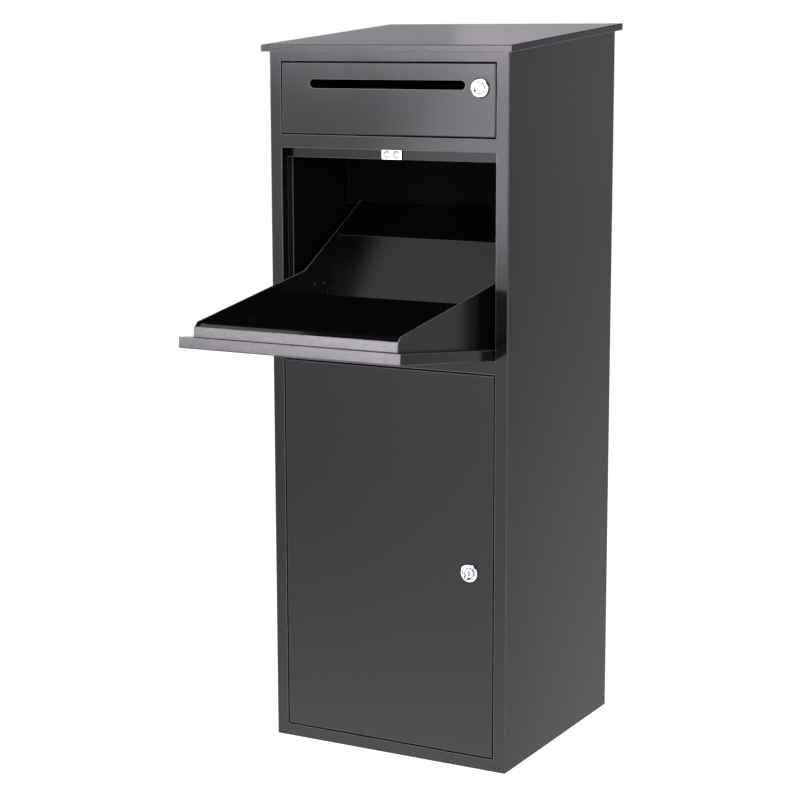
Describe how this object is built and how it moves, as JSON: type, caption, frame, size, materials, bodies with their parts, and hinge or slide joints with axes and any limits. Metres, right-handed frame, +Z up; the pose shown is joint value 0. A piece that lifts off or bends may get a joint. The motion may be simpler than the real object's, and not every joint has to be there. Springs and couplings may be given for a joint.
{
  "type": "parcel drop box",
  "caption": "Free-standing sheet-steel parcel drop box with a slotted letter door, a tip-out parcel flap and tray, and a locked collection door under a sloping roof.",
  "frame": {"origin": "centre of the base plate's underside, on the floor the box stands on", "axes": "+X to the right of someone facing the front, -Y out of the front, +Z up"},
  "size_m": [0.396, 0.6403, 1.0541],
  "materials": {
    "cabinet_coat": "satin anthracite powder coat on steel sheet",
    "door_coat": "satin anthracite powder coat on steel sheet",
    "flap_coat": "satin anthracite powder coat on steel sheet",
    "zinc_steel": "bright zinc plate",
    "lock_chrome": "polished chrome plate",
    "black_nylon": "matte moulded nylon",
    "black_rubber": "matte black rubber"
  },
  "bodies": {
    "cabinet": {"front_frame": "cabinet_coat", "left_side_panel": "cabinet_coat", "right_side_panel": "cabinet_coat", "back_panel": "cabinet_coat", "base_plate": "cabinet_coat", "roof_cap": "cabinet_coat", "left_roof_angle": "cabinet_coat", "right_roof_angle": "cabinet_coat", "roof_studs": "zinc_steel", "roof_nuts": "zinc_steel", "letter_shelf": "cabinet_coat", "rear_guard_plate": "cabinet_coat", "shell_rivets": "zinc_steel", "flap_stop_rail": "cabinet_coat", "left_flap_stop": "cabinet_coat", "right_flap_stop": "cabinet_coat", "letter_door_stop": "cabinet_coat", "collection_door_stop": "cabinet_coat", "catch_housing": "lock_chrome", "catch_magnets": "zinc_steel", "left_pivot_bracket": "cabinet_coat", "right_pivot_bracket": "cabinet_coat", "flap_pivot_bushes": "black_nylon", "left_bumper_bracket": "cabinet_coat", "right_bumper_bracket": "cabinet_coat", "flap_bumpers": "black_rubber", "letter_hinge_lugs": "cabinet_coat", "letter_hinge_bushes": "black_nylon", "collection_hinge_lugs": "cabinet_coat", "collection_hinge_bushes": "black_nylon"},
    "letter_door": {"letter_door_panel": "door_coat", "letter_hinge_pins": "zinc_steel", "letter_lock_housing": "lock_chrome", "letter_lock_nut": "zinc_steel"},
    "letter_lock": {"letter_lock_cylinder": "lock_chrome", "letter_lock_cam": "zinc_steel", "letter_lock_screw": "zinc_steel"},
    "collection_door": {"collection_door_panel": "door_coat", "collection_door_stiffener": "cabinet_coat", "collection_hinge_pins": "zinc_steel", "collection_lock_housing": "lock_chrome", "collection_lock_nut": "zinc_steel"},
    "collection_lock": {"collection_lock_cylinder": "lock_chrome", "collection_lock_cam": "zinc_steel", "collection_lock_screw": "zinc_steel"},
    "parcel_flap": {"flap_outer_panel": "flap_coat", "flap_pull_cup": "black_nylon", "flap_liner": "flap_coat", "left_cheek": "flap_coat", "right_cheek": "flap_coat", "rear_baffle": "flap_coat", "tray_mat": "black_rubber", "flap_pivot_pins": "zinc_steel", "flap_stop_tabs": "flap_coat", "cheek_rivets": "zinc_steel"}
  },
  "joints": [
    {"name": "flap_hinge", "type": "hinge", "parent": "cabinet", "child": "parcel_flap", "pos_m": [0, -0.1734, 0.5995], "axis": [-1, 0, 0], "range_deg": [0, 83.5]},
    {"name": "letter_door_hinge", "type": "hinge", "parent": "cabinet", "child": "letter_door", "pos_m": [-0.1536, -0.173, 0.95], "axis": [0, 0, -1], "range_deg": [0, 110]},
    {"name": "collection_door_hinge", "type": "hinge", "parent": "cabinet", "child": "collection_door", "pos_m": [-0.1536, -0.173, 0.296], "axis": [0, 0, -1], "range_deg": [0, 110]},
    {"name": "letter_lock_turn", "type": "hinge", "parent": "letter_door", "child": "letter_lock", "pos_m": [0.1467, -0.18, 0.9668], "axis": [0, -1, 0], "range_deg": [0, 90]},
    {"name": "collection_lock_turn", "type": "hinge", "parent": "collection_door", "child": "collection_lock", "pos_m": [0.1331, -0.18, 0.2882], "axis": [0, -1, 0], "range_deg": [0, 90]}
  ]
}
